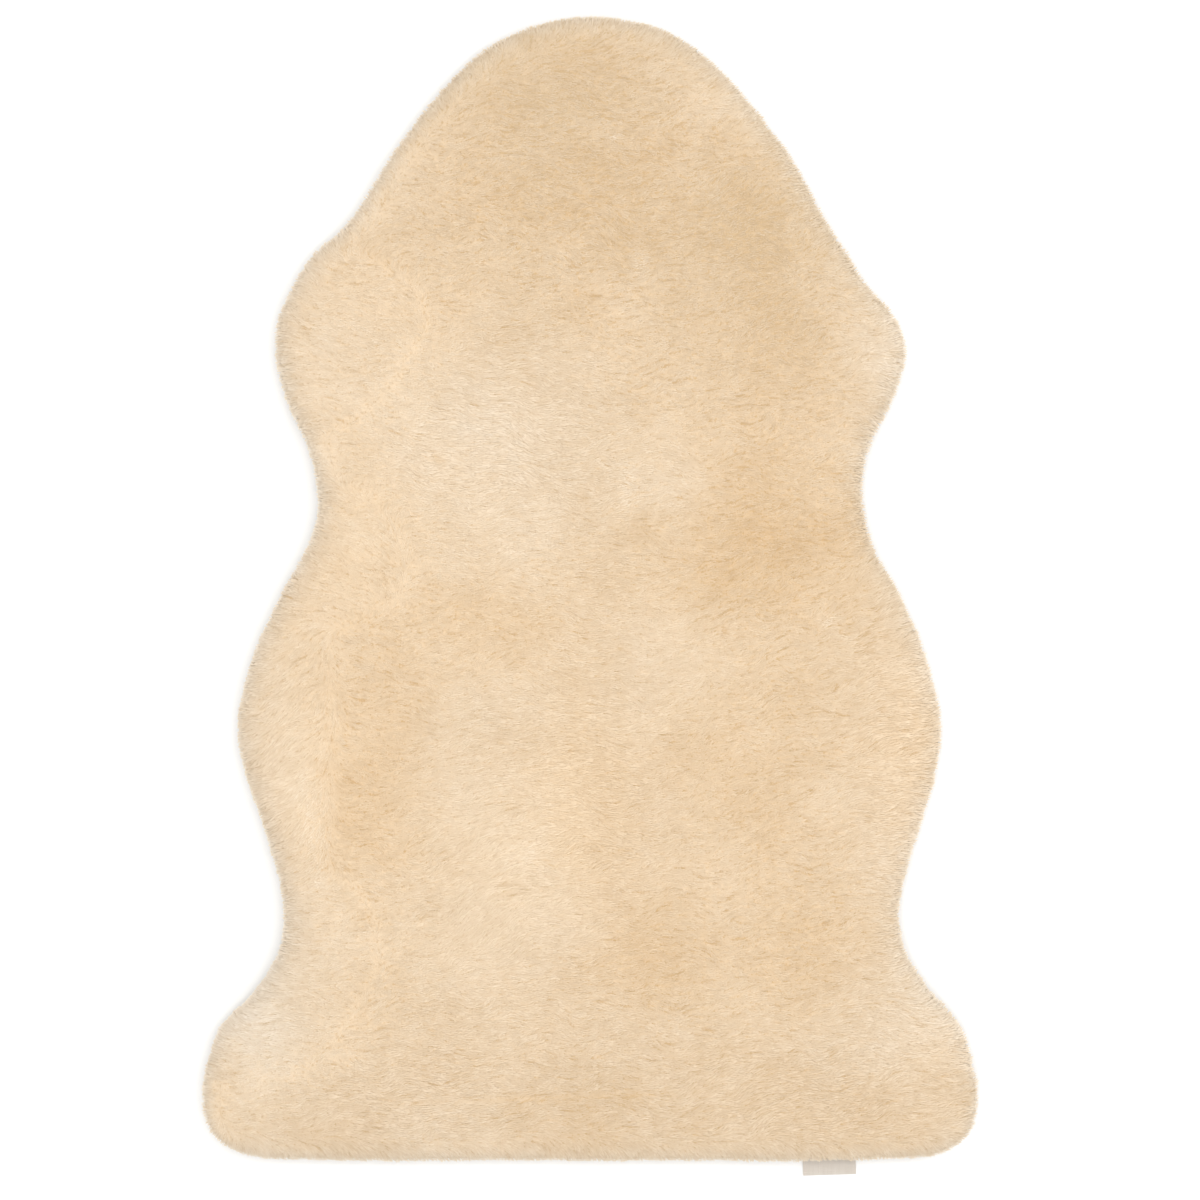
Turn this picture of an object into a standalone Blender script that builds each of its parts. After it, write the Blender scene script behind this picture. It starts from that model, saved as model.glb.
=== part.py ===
"""Sheepskin rug: one shorn pelt lying flat with its wool up, and a folded woven tab under its tail edge.

Metres, +Z up. +Y runs from the tail edge to the crown and +X is the right flank, seen from above.
The skin's flat underside lies on Z = 0, and the origin is under the middle of the rug's box.
"""

import math

import bmesh
import bpy
from mathutils import Matrix, Vector, noise
from mathutils.geometry import delaunay_2d_cdt

MM = 0.001

# The wool's outline, in millimetres. Each row is a section across the backbone: "along" is measured from
# the tail edge towards the crown, "left" and "right" are measured outwards from the backbone.
STATION_COLUMNS = ("station", "along", "left", "right")
STATIONS = (
    ("tail", 0.0, 110.0, 100.0),
    ("tail end", 0.5, 235.0, 228.0),
    ("tail corner", 6.0, 291.0, 293.0),
    ("hind toe", 22.0, 313.0, 315.0),
    ("hind foot", 48.0, 321.0, 322.0),
    ("hind leg", 84.0, 316.0, 317.5),
    ("hock", 112.0, 304.5, 307.5),
    ("thigh", 142.0, 276.0, 282.0),
    ("groin", 174.0, 257.0, 262.0),
    ("loin", 208.0, 253.0, 257.0),
    ("flank", 262.0, 265.0, 270.0),
    ("low belly", 316.0, 283.5, 286.0),
    ("belly", 357.0, 291.5, 292.0),
    ("high belly", 410.0, 282.0, 282.0),
    ("ribs", 468.0, 256.5, 259.0),
    ("low waist", 512.0, 232.5, 234.0),
    ("waist", 546.0, 225.0, 227.0),
    ("high waist", 590.0, 232.5, 231.0),
    ("elbow", 634.0, 252.0, 252.5),
    ("shoulder", 674.0, 260.5, 263.0),
    ("shoulder top", 703.0, 256.5, 252.0),
    ("foreleg", 727.0, 245.0, 230.0),
    ("neck root", 752.0, 229.0, 214.0),
    ("neck", 780.0, 198.5, 196.5),
    ("high neck", 832.0, 165.5, 167.5),
    ("cheek", 884.0, 126.5, 128.5),
    ("brow", 917.0, 93.5, 96.0),
    ("crown", 938.0, 58.0, 63.0),
    ("crown top", 949.0, 12.0, 17.0),
)

# The pelt's section, in millimetres.
SKIN_THICKNESS = 2.0
SKIN_INSET = 8.0  # the cut edge of the skin lies this far in under the wool's outline
WOOL_TOP = 28.0  # the shorn pile's top, measured from the floor
TIP_HEIGHT = 11.0  # the outermost lock tips stand out at this height
RIM_REACH = 30.0  # the wool rounds over from its tips to its level top within this
RIM_ROUNDNESS = 2.2  # 2 is an ellipse, more is squarer

# The rings of points that run round the rim: how far each is inset from the outline, and how deeply its
# locks stand in and out.
UNDER_LOCKS = dict(inset=3.0, height=4.6, lock_depth=1.7)
LOCK_TIPS = dict(inset=0.0, height=TIP_HEIGHT, lock_depth=0.9)
SIDE_OF_LOCKS = dict(inset=2.6, lock_depth=1.0)
TOP_OF_LOCKS = dict(inset=9.0, lock_depth=0.8)
BEHIND_LOCKS = dict(inset=18.0)
LEVEL_WOOL = dict(inset=26.0)  # the even grid of the top starts here
LOCK_PITCH = 21.0
LOCK_RISE = 1.3  # how much the tips of neighbouring locks differ in height
RIM_POINTS = 420
TOP_GRID = 19.0
UNDERSIDE_GRID = 75.0

# Where the wool stands fuller (rise above zero) or lies lower, in millimetres. "across" is from the
# backbone towards the right, and a swell fades out at about twice its reach.
SWELL_COLUMNS = ("place", "across", "along", "reach", "rise")
SWELLS = (
    ("breast", -82.0, 602.0, 95.0, 1.7),
    ("right of the backbone", 62.0, 560.0, 60.0, 1.2),
    ("middle back", 71.0, 424.0, 55.0, 1.2),
    ("loin", -78.0, 266.0, 110.0, 1.4),
    ("left belly", -249.0, 353.0, 55.0, 1.2),
    ("left hind foot", -261.0, 140.0, 48.0, 1.5),
    ("crown", -40.0, 890.0, 60.0, -0.9),
    ("right shoulder", 125.0, 702.0, 105.0, -1.5),
    ("right waist", 125.0, 499.0, 65.0, -1.4),
    ("left flank", -178.0, 307.0, 85.0, -1.6),
    ("left thigh", 50.0, 175.0, 45.0, -1.2),
    ("right thigh", 160.0, 180.0, 45.0, -1.2),
    ("left of the tail", -74.0, 38.0, 50.0, -0.8),
    ("right of the tail", 155.0, 58.0, 60.0, -0.8),
)
CLUMP_SIZES = ((46.0, 1.3), (27.0, 0.7))  # clumps of wool: how wide, and how much they rise

# The tab: a woven tape folded once, its fold outwards, its two ends sewn together under the skin.
TAB_WIDTH = 44.0
TAB_ACROSS = 200.9  # its middle, from the backbone
TAB_SHOWS = 14.8  # how far its fold lies past the tail edge
TAB_SEWN = 7.0  # how far its ends reach in under the skin
TAB_TURN = math.radians(1.8)
TAPE_THICKNESS = 0.4
TAPE_GAP = 0.3  # between its two layers
FOLD_STEPS = 6
CLEARANCE = 0.3  # between the tab and the skin

OUTLINE_STEPS = 20


def rows(columns, table):
    return [dict(zip(columns, row)) for row in table]


def clear_scene():
    for thing in list(bpy.data.objects):
        bpy.data.objects.remove(thing, do_unlink=True)


def make_material(name, colour, roughness):
    material = bpy.data.materials.new(name)
    material.use_nodes = True
    shader = material.node_tree.nodes["Principled BSDF"]
    shader.inputs["Base Color"].default_value = (*colour, 1.0)
    shader.inputs["Roughness"].default_value = roughness
    shader.inputs["Metallic"].default_value = 0.0
    return material


def round_through(points):
    """A closed centripetal Catmull-Rom curve through the points."""
    curve = []
    for index, start in enumerate(points):
        before = points[index - 1]
        end = points[(index + 1) % len(points)]
        after = points[(index + 2) % len(points)]
        t1 = math.sqrt((start - before).length)
        t2 = t1 + math.sqrt((end - start).length)
        t3 = t2 + math.sqrt((after - end).length)
        for step in range(OUTLINE_STEPS):
            t = t1 + (t2 - t1) * step / OUTLINE_STEPS
            a1 = before.lerp(start, t / t1)
            a2 = start.lerp(end, (t - t1) / (t2 - t1))
            a3 = end.lerp(after, (t - t2) / (t3 - t2))
            b1 = a1.lerp(a2, t / t2)
            b2 = a2.lerp(a3, (t - t1) / (t3 - t1))
            curve.append(b1.lerp(b2, (t - t1) / (t2 - t1)))
    return curve


def spaced(curve, count):
    """The closed curve as this many points, equally far apart along it."""
    ends = curve[1:] + curve[:1]
    lengths = [(end - start).length for start, end in zip(curve, ends)]
    pitch = sum(lengths) / count
    points = []
    passed = 0.0
    for start, end, length in zip(curve, ends, lengths):
        while len(points) < count and len(points) * pitch <= passed + length:
            points.append(start.lerp(end, (len(points) * pitch - passed) / length))
        passed += length
    return points


def wool_outline():
    """The outline as evenly spaced points, anticlockwise from the tail edge, seen from above."""
    sections = rows(STATION_COLUMNS, STATIONS)
    right = [Vector((row["right"], row["along"])) for row in sections]
    left = [Vector((-row["left"], row["along"])) for row in reversed(sections)]
    return spaced(round_through(right + left), RIM_POINTS)


def inward_directions(outline):
    directions = []
    for index in range(len(outline)):
        run = outline[(index + 1) % len(outline)] - outline[index - 1]
        directions.append(Vector((-run.y, run.x)).normalized())
    return directions


def unevenness(point, size, layer):
    """A smooth wave of about -1 to 1 that changes over this size; each layer is a wave of its own."""
    return noise.noise(Vector((point.x / size, point.y / size, layer)))


def pile_height(inset):
    """Height of the wool at this distance in from the outline, before its swells."""
    outer = 1.0 - min(inset / RIM_REACH, 1.0)
    return TIP_HEIGHT + (WOOL_TOP - TIP_HEIGHT) * (1.0 - outer**RIM_ROUNDNESS) ** (1.0 / RIM_ROUNDNESS)


def swell_height(point):
    height = 0.0
    for row in rows(SWELL_COLUMNS, SWELLS):
        distance = (point - Vector((row["across"], row["along"]))).length
        height += row["rise"] * math.exp(-((distance / row["reach"]) ** 2))
    for layer, (size, rise) in enumerate(CLUMP_SIZES):
        height += rise * unevenness(point, size, 3.0 + layer)
    return height


def top_point(point, inset):
    """The plan point raised to the wool's surface; swells fade out towards the rim."""
    fade = min(inset / RIM_REACH, 1.0)
    return Vector((point.x, point.y, pile_height(inset) + fade * swell_height(point)))


def lock_ring(outline, inward, ring, layer):
    """One ring of the rim, standing in and out with the locks."""
    points = []
    for corner, direction in zip(outline, inward):
        inset = ring["inset"] + ring["lock_depth"] * unevenness(corner, LOCK_PITCH, layer)
        place = corner + direction * inset
        if "height" in ring:
            height = ring["height"] + LOCK_RISE * unevenness(corner, LOCK_PITCH, layer + 0.5)
        else:
            height = top_point(place, ring["inset"]).z
        points.append(Vector((place.x, place.y, height)))
    return points


def level_ring(outline, inward, inset, height):
    points = []
    for corner, direction in zip(outline, inward):
        place = corner + direction * inset
        points.append(Vector((place.x, place.y, height)))
    return points


def inner_grid(outline, pitch, inset):
    """A grid of close-packed points, none nearer to the outline than the inset, with each one's own inset."""
    left = min(point.x for point in outline)
    right = max(point.x for point in outline)
    low = min(point.y for point in outline)
    high = max(point.y for point in outline)
    row_pitch = pitch * math.sqrt(0.75)
    placed = []
    for row in range(int((high - low) / row_pitch) + 1):
        for column in range(int((right - left) / pitch) + 1):
            point = Vector((left + (column + 0.5 * (row % 2)) * pitch, low + row * row_pitch))
            depth = min((point - corner).length for corner in outline)
            if depth >= inset and is_inside(point, outline):
                placed.append((point, depth))
    return placed


def is_inside(point, outline):
    crossings = 0
    for start, end in zip(outline, outline[1:] + outline[:1]):
        if (start.y > point.y) != (end.y > point.y):
            crossing = start.x + (end.x - start.x) * (point.y - start.y) / (end.y - start.y)
            crossings += crossing > point.x
    return crossings % 2 == 1


def fill(body, rim, inner):
    """Triangles across a closed rim of vertices, through the inner ones."""
    vertices = rim + inner
    flat = [vertex.co.xy for vertex in vertices]
    edges = [(index, (index + 1) % len(rim)) for index in range(len(rim))]
    filled = delaunay_2d_cdt(flat, edges, [], 1, 1e-7)
    triangles, sources = filled[2], filled[3]
    for triangle in triangles:
        body.faces.new([vertices[sources[corner][0]] for corner in triangle])


def join_rings(body, lower, upper):
    count = len(lower)
    for index in range(count):
        after = (index + 1) % count
        body.faces.new((lower[index], lower[after], upper[after], upper[index]))


def add_ring(body, points):
    return [body.verts.new(point * MM) for point in points]


def finish_body(name, body, material, smooth):
    bmesh.ops.triangulate(body, faces=body.faces[:])
    bmesh.ops.recalc_face_normals(body, faces=body.faces[:])
    mesh = bpy.data.meshes.new(name)
    body.to_mesh(mesh)
    body.free()
    mesh.materials.append(material)
    if smooth:
        mesh.shade_smooth()
    piece = bpy.data.objects.new(name, mesh)
    bpy.context.collection.objects.link(piece)
    return piece


def make_pelt(outline, material):
    """The skin with its wool: a flat underside, a cut skin edge, overhanging locks and a lumpy top."""
    inward = inward_directions(outline)
    body = bmesh.new()
    rings = [
        add_ring(body, level_ring(outline, inward, SKIN_INSET, 0.0)),
        add_ring(body, level_ring(outline, inward, SKIN_INSET, SKIN_THICKNESS)),
        add_ring(body, lock_ring(outline, inward, UNDER_LOCKS, 0.0)),
        add_ring(body, lock_ring(outline, inward, LOCK_TIPS, 0.3)),
        add_ring(body, lock_ring(outline, inward, SIDE_OF_LOCKS, 0.6)),
        add_ring(body, lock_ring(outline, inward, TOP_OF_LOCKS, 0.9)),
    ]
    for lower, upper in zip(rings, rings[1:]):
        join_rings(body, lower, upper)

    top = []
    for corner, direction in list(zip(outline, inward))[::2]:
        top.append(top_point(corner + direction * BEHIND_LOCKS["inset"], BEHIND_LOCKS["inset"]))
    for point, depth in inner_grid(outline, TOP_GRID, LEVEL_WOOL["inset"]):
        top.append(top_point(point, depth))
    fill(body, rings[-1], add_ring(body, top))

    underside = [
        Vector((point.x, point.y, 0.0))
        for point, depth in inner_grid(outline, UNDERSIDE_GRID, UNDERSIDE_GRID / 2)
    ]
    fill(body, rings[0], add_ring(body, underside))
    return finish_body("pelt", body, material, smooth=True)


def tab_place():
    """Puts the tab's own frame, with its fold at Y = 0 and the tape running to +Y, at the tail edge."""
    move = Matrix.Translation(Vector((TAB_ACROSS, -TAB_SHOWS, 0.0)) * MM)
    return move @ Matrix.Rotation(TAB_TURN, 4, "Z")


def tab_section():
    """The folded tape from its side, as pairs of points on its outer and inner face: out along the upper
    layer, round the fold, and back along the lower one."""
    length = TAB_SHOWS + SKIN_INSET + TAB_SEWN
    outer = TAPE_THICKNESS + TAPE_GAP / 2
    inner = TAPE_GAP / 2
    pairs = [((length, outer + outer), (length, outer + inner))]
    for step in range(FOLD_STEPS + 1):
        turn = math.pi * (0.5 + step / FOLD_STEPS)
        pairs.append([(outer + reach * math.cos(turn), outer + reach * math.sin(turn)) for reach in (outer, inner)])
    pairs.append(((length, outer - outer), (length, outer - inner)))
    return pairs


def make_tab(material):
    body = bmesh.new()
    rings = []
    for outer, inner in tab_section():
        corners = ((-0.5, outer), (0.5, outer), (0.5, inner), (-0.5, inner))
        rings.append(add_ring(body, [Vector((side * TAB_WIDTH, *place)) for side, place in corners]))
    for before, after in zip(rings, rings[1:]):
        join_rings(body, before, after)
    body.faces.new(rings[0])
    body.faces.new(rings[-1])
    body.transform(tab_place())
    return finish_body("tab", body, material, smooth=False)


def make_seat_for_tab():
    """The shallow step under the skin's edge that leaves room for the sewn end of the tab."""
    height = 2 * TAPE_THICKNESS + TAPE_GAP + CLEARANCE
    depth = 2 * height
    length = TAB_SHOWS + SKIN_INSET + TAB_SEWN + CLEARANCE
    body = bmesh.new()
    bmesh.ops.create_cube(body, size=1.0)
    bmesh.ops.scale(body, verts=body.verts, vec=Vector((TAB_WIDTH + 2 * CLEARANCE, length, depth)) * MM)
    bmesh.ops.translate(body, verts=body.verts, vec=Vector((0.0, length / 2, height - depth / 2)) * MM)
    body.transform(tab_place())
    mesh = bpy.data.meshes.new("seat for tab")
    body.to_mesh(mesh)
    body.free()
    seat = bpy.data.objects.new("seat for tab", mesh)
    bpy.context.collection.objects.link(seat)
    seat.hide_render = True
    seat.display_type = "WIRE"
    return seat


def cut(piece, cutter):
    step = piece.modifiers.new("seat for tab", "BOOLEAN")
    step.operation = "DIFFERENCE"
    step.solver = "EXACT"
    step.object = cutter


def centre_on_origin(measured, moved):
    """Brings the middle of the measured pieces' box over the origin."""
    corners = [vertex.co for piece in measured for vertex in piece.data.vertices]
    middle_x = (min(co.x for co in corners) + max(co.x for co in corners)) / 2
    middle_y = (min(co.y for co in corners) + max(co.y for co in corners)) / 2
    for piece in moved:
        piece.data.transform(Matrix.Translation((-middle_x, -middle_y, 0.0)))


def main():
    clear_scene()
    wool = make_material("cream wool", (0.83, 0.64, 0.43), 0.95)
    tape = make_material("woven cotton tape", (0.78, 0.74, 0.68), 0.85)
    pelt = make_pelt(wool_outline(), wool)
    tab = make_tab(tape)
    seat = make_seat_for_tab()
    cut(pelt, seat)
    centre_on_origin((pelt, tab), (pelt, tab, seat))


main()
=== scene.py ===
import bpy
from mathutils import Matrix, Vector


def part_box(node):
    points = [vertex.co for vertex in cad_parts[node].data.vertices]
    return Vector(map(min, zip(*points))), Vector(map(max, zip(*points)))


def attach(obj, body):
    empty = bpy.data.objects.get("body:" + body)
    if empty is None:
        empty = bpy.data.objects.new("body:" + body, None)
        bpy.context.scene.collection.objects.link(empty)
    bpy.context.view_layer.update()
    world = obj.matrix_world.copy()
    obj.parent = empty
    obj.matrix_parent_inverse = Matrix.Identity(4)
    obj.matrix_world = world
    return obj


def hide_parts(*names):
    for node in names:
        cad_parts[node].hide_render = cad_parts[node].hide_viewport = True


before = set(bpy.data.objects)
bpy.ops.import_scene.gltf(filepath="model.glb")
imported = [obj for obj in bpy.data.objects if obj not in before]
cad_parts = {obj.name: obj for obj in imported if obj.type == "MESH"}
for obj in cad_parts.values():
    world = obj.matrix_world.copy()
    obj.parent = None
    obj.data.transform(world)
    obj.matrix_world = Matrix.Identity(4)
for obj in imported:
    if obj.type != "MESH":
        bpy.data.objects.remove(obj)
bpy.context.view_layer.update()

import math
from functools import partial

import bmesh
import bpy
import numpy as np
from mathutils import Vector, kdtree, noise

mm = 0.001
print("frame loaded:", sorted(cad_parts))


# small tools that every piece uses

def fromHex(code):
    # an sRGB hex colour as the linear colour that the shaders take
    channels = [int(code[place:place + 2], 16) / 255 for place in (1, 3, 5)]
    linear = [value / 12.92 if value <= 0.04045 else ((value + 0.055) / 1.055) ** 2.4 for value in channels]
    return (*linear, 1.0)


def setInputs(tree, node, inputs):
    # an input is a fixed value, one of another node's outputs, or another node for its first output
    for socket, value in inputs.items():
        source = value.outputs[0] if isinstance(value, bpy.types.Node) else value
        if isinstance(source, bpy.types.NodeSocket):
            tree.links.new(source, node.inputs[socket])
        else:
            node.inputs[socket].default_value = source


def addNode(tree, kind, inputs=None, **settings):
    node = tree.nodes.new(kind)
    for name, value in settings.items():
        setattr(node, name, value)
    setInputs(tree, node, inputs or {})
    return node


def newTree(name, values):
    # a Geometry Nodes tree that takes a mesh and these named numbers and gives a mesh back
    tree = bpy.data.node_groups.new(name, "GeometryNodeTree")
    face = tree.interface
    face.new_socket("Geometry", in_out="INPUT", socket_type="NodeSocketGeometry")
    for label, value in values.items():
        kind = "NodeSocketInt" if isinstance(value, int) else "NodeSocketFloat"
        face.new_socket(label, in_out="INPUT", socket_type=kind)
    face.new_socket("Geometry", in_out="OUTPUT", socket_type="NodeSocketGeometry")
    return tree, partial(addNode, tree), addNode(tree, "NodeGroupInput").outputs


def finishTree(tree, geometry, material):
    whole = addNode(tree, "GeometryNodeRealizeInstances", {"Geometry": geometry})
    finished = addNode(tree, "GeometryNodeSetMaterial", {"Geometry": whole, "Material": material})
    addNode(tree, "NodeGroupOutput", {"Geometry": finished})
    return tree


def newMaterial(name, **finish):
    # a Principled material; finish holds the sockets that are the same all over the surface
    material = bpy.data.materials.new(name)
    material.use_nodes = True
    tree = material.node_tree
    shader = tree.nodes["Principled BSDF"]
    for socket, value in finish.items():
        level = fromHex(value) if isinstance(value, str) else value
        shader.inputs[socket.replace("_", " ")].default_value = level
    return material, tree, partial(addNode, tree), shader


def setRamp(ramp, stops):
    # stops is a list of (place, hex colour)
    while len(ramp.elements) < len(stops):
        ramp.elements.new(0.5)
    for element, (place, colour) in zip(ramp.elements, stops):
        element.position = place
        element.color = fromHex(colour)


def newObject(name, data):
    added = bpy.data.objects.new(name, data)
    bpy.context.scene.collection.objects.link(added)
    return added


def newPiece(name, mesh, material, smooth=True):
    if material is not None:
        mesh.materials.clear()
        mesh.materials.append(material)
    if smooth:
        mesh.shade_smooth()
    return newObject(name, mesh)


def asMesh(body, name):
    mesh = bpy.data.meshes.new(name)
    body.to_mesh(mesh)
    body.free()
    return mesh


def evaluatedMesh(piece):
    bpy.context.view_layer.update()
    depsgraph = bpy.context.evaluated_depsgraph_get()
    return bpy.data.meshes.new_from_object(piece.evaluated_get(depsgraph))


def useTree(piece, tree, values):
    # runs a tree on a piece and gives the result as a plain mesh
    grower = piece.modifiers.new(tree.name, "NODES")
    grower.node_group = tree
    for item in tree.interface.items_tree:
        if item.item_type == "SOCKET" and item.in_out == "INPUT" and item.name in values:
            grower[item.identifier] = values[item.name]
    mesh = evaluatedMesh(piece)
    piece.modifiers.remove(grower)
    return mesh


def readVertices(mesh, kind):
    # every vertex's place, "co", or its normal, "normal"
    found = np.empty(len(mesh.vertices) * 3, np.float32)
    mesh.vertices.foreach_get(kind, found)
    return found.reshape(-1, 3)


def readAttribute(mesh, name, width=1):
    kept = mesh.attributes[name]
    found = np.empty(len(kept.data) * width, np.float32)
    kept.data.foreach_get("vector" if width == 3 else "value", found)
    return found.reshape(-1, width) if width > 1 else found


def writeAttribute(mesh, name, values):
    kind = "FLOAT_VECTOR" if values.ndim == 2 else "FLOAT"
    kept = mesh.attributes.get(name) or mesh.attributes.new(name, kind, "POINT")
    kept.data.foreach_set("vector" if values.ndim == 2 else "value", values.astype(np.float32).ravel())


def writeMap(mesh, places):
    # the piece's own UV map, given as one place for each vertex
    layer = mesh.uv_layers.new(name="OFBake")
    index = np.empty(len(mesh.loops), np.int32)
    mesh.loops.foreach_get("vertex_index", index)
    layer.data.foreach_set("uv", places[index].astype(np.float32).ravel())


def unit(vectors):
    return vectors / np.maximum(np.linalg.norm(vectors, axis=1, keepdims=True), 1e-9)


def fitted(values, margin):
    # the values drawn out over 0 to 1 less a margin, for a map that uses nearly all its room
    low, high = values.min(axis=0), values.max(axis=0)
    return margin + (1.0 - 2.0 * margin) * (values - low) / np.maximum(high - low, 1e-6)


# camera, floor and light

view = {
    "photoWidth": 0.9973,  # what the photograph's 1200 pixels span at the rug
    "middle": (0.00833, -0.00184),  # the spot at the middle of the photograph
    "lens": 85.0,
    "sensor": 36.0,
    "rimHeight": 0.012,  # the outline is read at the height of the rim's lock tips
}


def makeCamera():
    data = bpy.data.cameras.new("camera")
    data.lens = view["lens"]
    data.sensor_width = view["sensor"]
    camera = newObject("camera", data)
    distance = view["photoWidth"] * view["lens"] / view["sensor"]
    camera.location = (*view["middle"], view["rimHeight"] + distance)
    bpy.context.scene.camera = camera


studio = {
    "floorSize": 12.0,
    "floorColour": "#FDFDFC",
    "floorDrop": 0.1 * mm,  # below z = 0
    "skyStrength": 0.97,
    "topSize": 3.0,
    "topHeight": 3.4,
    "topPower": 31.0,
    "sideSize": 1.2,
    "sidePlace": (1.7, 0.5, 1.9),
    "sidePower": 9.0,
}


def makeStage():
    paint = newMaterial("painted floor", Roughness=0.9, Base_Color=studio["floorColour"])[0]
    body = bmesh.new()
    bmesh.ops.create_grid(body, x_segments=1, y_segments=1, size=studio["floorSize"] / 2)
    bmesh.ops.translate(body, verts=body.verts, vec=(0.0, 0.0, -studio["floorDrop"]))
    newPiece("floor", asMesh(body, "floor"), paint, smooth=False)


def makeSoftbox(name, place, size, power):
    data = bpy.data.lights.new(name, "AREA")
    data.shape = "DISK"
    data.size = size
    data.energy = power
    lamp = newObject(name, data)
    lamp.location = place
    lamp.rotation_euler = (-Vector(place)).to_track_quat("-Z", "Y").to_euler()
    lamp.visible_camera = False


def makeLight():
    world = bpy.data.worlds.new("studio")
    world.use_nodes = True
    background = world.node_tree.nodes["Background"]
    background.inputs["Color"].default_value = (1.0, 1.0, 1.0, 1.0)
    background.inputs["Strength"].default_value = studio["skyStrength"]
    bpy.context.scene.world = world
    makeSoftbox("top softbox", (0.0, 0.0, studio["topHeight"]), studio["topSize"], studio["topPower"])
    makeSoftbox("side softbox", studio["sidePlace"], studio["sideSize"], studio["sidePower"])
    bpy.context.scene.view_settings.view_transform = "Standard"


# the fleece: its lie, its tone and its body

fleece = {
    "tailEdge": -467.3 * mm,  # where the wool's tail edge lies along Y
    "backbone": -0.8 * mm,  # where the backbone lies along X
    "coreDepth": 0.6 * mm,  # how far the close-packed wool lies under the lock tips
    "cageFoot": 2.3 * mm,  # the solid is cut here before it is rounded and drawn in
    "skinTop": 2.2 * mm,  # the wool stands on the skin from here up
    "growsFrom": 2.6 * mm,  # no lock grows lower down
    "marksFrom": 15.0 * mm,  # only wool above this sinks in at a mark
    "overTab": 0.15 * mm,  # how far over the tab the tips lie that reach it
    "rimFoot": 4.0 * mm,  # the rim is found above this
    "rimSteepness": 0.5,  # where the surface's normal points up by no more than this
    "rimReach": 24.0 * mm,  # within this of the outline the wool turns outwards and droops
    "rimEase": 1.5,  # above 1 it does so later, closer to the outline
    "rimTurn": 0.75,  # how much of its own lie it loses at the outline
    "rimDroop": 0.9,
    "rimLean": 7.5 * mm,  # how far the tips lie over at the outline
    "backLean": 4.5 * mm,  # and where the table below says nothing
    "leastLean": 2.8 * mm,  # where the wool turns from one way to the other it parts, and doesn't stand up
    "baseWeight": 0.16,  # how much the next two rows count beside the table's
    "baseFlow": (1.0, 0.1, 0.0),
    "baseComb": 0.4,
    "wanderLoose": 1.2,  # how far the lie wanders, in radians, where the wool stands at random
    "wanderCombed": 0.6,  # and how much less where it is combed
    "wander": ((0.3, 34.0, 1.5), (0.9, 15.0, 4.5)),  # waves: share, size in millimetres, layer
    "mottle": ((0.28, 60.0, 7.5), (0.22, 24.0, 9.5)),
    "goldMottle": ((0.25, 75.0, 12.5), (0.15, 30.0, 15.5)),
}

# How the wool lies and what tone it has, place by place. "across" and "along" are measured from the backbone
# and the tail edge in millimetres, a place fades out over its reach, heading is the way the tips point (0 is
# right, 90 is towards the crown), lean is how far the tips lie over in millimetres, comb is how alike
# neighbours lie (0 stands up at random), and tone and warmth are how much lighter and how much more golden
# the wool is there. The tone is partly the wool's own and partly painted light and shade of the nap, which
# catches the light differently from place to place.
lieColumns = ("place", "across", "along", "reachAcross", "reachAlong", "heading", "lean", "comb", "tone",
              "warmth")
lieTable = (
    ("crown", -30, 890, 110, 70, 0, 2.2, 0.30, -0.75, -0.70),
    ("neck", -15, 790, 110, 70, 350, 2.0, 0.20, -0.75, -0.30),
    ("right of the neck", 145, 790, 65, 65, 15, 2.0, 0.20, -0.55, -0.45),
    ("left shoulder", -199, 673, 60, 60, 175, 5.0, 0.45, 0.30, -0.10),
    ("breast", -100, 605, 75, 60, 350, 6.5, 0.70, 0.55, -0.25),
    ("right of the backbone", 62, 560, 50, 45, 5, 4.0, 0.50, 0.50, -0.25),
    ("right shoulder", 140, 695, 95, 90, 20, 1.5, 0.10, -0.75, -0.40),
    ("right shoulder tip", 238, 675, 30, 45, 0, 6.0, 0.80, 0.60, -0.40),
    ("left waist", -205, 505, 50, 50, 165, 5.0, 0.60, 0.40, 0.30),
    ("middle of the waist", -70, 510, 60, 35, 0, 4.0, 0.50, 0.35, -0.10),
    ("right waist", 150, 520, 80, 60, 15, 2.0, 0.15, -0.90, 0.55),
    ("left of the middle", -85, 440, 50, 40, 5, 3.0, 0.30, -0.10, 0.45),
    ("middle back", 60, 424, 55, 50, 355, 4.0, 0.55, 0.25, 0.00),
    ("left belly rim", -250, 335, 40, 95, 205, 8.0, 0.95, 0.45, 0.10),
    ("left inner flank", -185, 330, 55, 105, 350, 2.5, 0.25, -0.20, 0.70),
    ("loin", -78, 262, 85, 100, 25, 5.0, 0.60, 0.45, 0.25),
    ("backbone", -5, 300, 50, 110, 350, 6.0, 0.80, 0.15, 0.75),
    ("right belly", 130, 330, 65, 120, 15, 3.0, 0.35, -0.30, 0.35),
    ("right flank rim", 262, 349, 35, 110, 10, 7.0, 0.85, 0.35, 0.50),
    ("left stifle", -215, 190, 40, 45, 185, 5.0, 0.60, 0.35, -0.20),
    ("left hind foot", -270, 120, 48, 55, 185, 7.0, 0.90, 0.35, -1.00),
    ("right hind foot", 262, 135, 50, 50, 5, 5.5, 0.70, 0.25, -0.40),
    ("left thigh", 50, 175, 50, 50, 0, 3.5, 0.35, -0.40, 0.45),
    ("right thigh", 160, 180, 55, 50, 5, 2.5, 0.25, -0.30, 0.20),
    ("left tail band", -170, 45, 110, 38, 5, 6.0, 0.65, -0.15, -0.20),
    ("tail middle", -15, 48, 60, 40, 5, 4.0, 0.50, -0.60, -0.15),
    ("right tail band", 150, 50, 110, 38, 10, 6.0, 0.65, -0.30, 0.05),
)
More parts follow.
